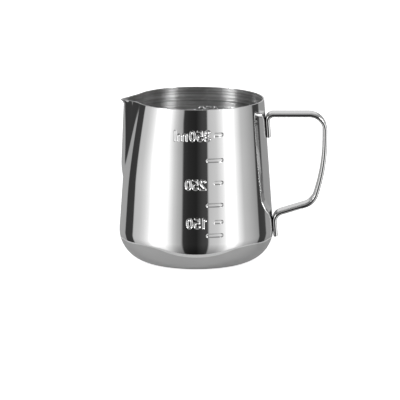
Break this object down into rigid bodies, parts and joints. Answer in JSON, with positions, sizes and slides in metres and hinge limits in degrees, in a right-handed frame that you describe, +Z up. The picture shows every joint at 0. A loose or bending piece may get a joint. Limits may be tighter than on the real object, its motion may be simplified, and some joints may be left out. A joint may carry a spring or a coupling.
{
  "type": "milk frothing pitcher",
  "caption": "Small tapered steel jug with a rounded base, a V-shaped pouring lip and a welded strip handle, for steaming and pouring milk.",
  "frame": {"origin": "centre of the base on the jug's own axis, on the surface that the jug stands on", "axes": "+Z up along the jug's axis, +X towards the handle, -X towards the pouring lip"},
  "size_m": [0.1106, 0.0822, 0.087],
  "materials": {
    "jug_steel": "polished",
    "handle_steel": "polished",
    "weld_steel": "satin"
  },
  "bodies": {
    "root": {"jug_body": "jug_steel", "handle": "handle_steel", "upper_foot_welds": "weld_steel", "lower_foot_welds": "weld_steel"}
  },
  "joints": []
}
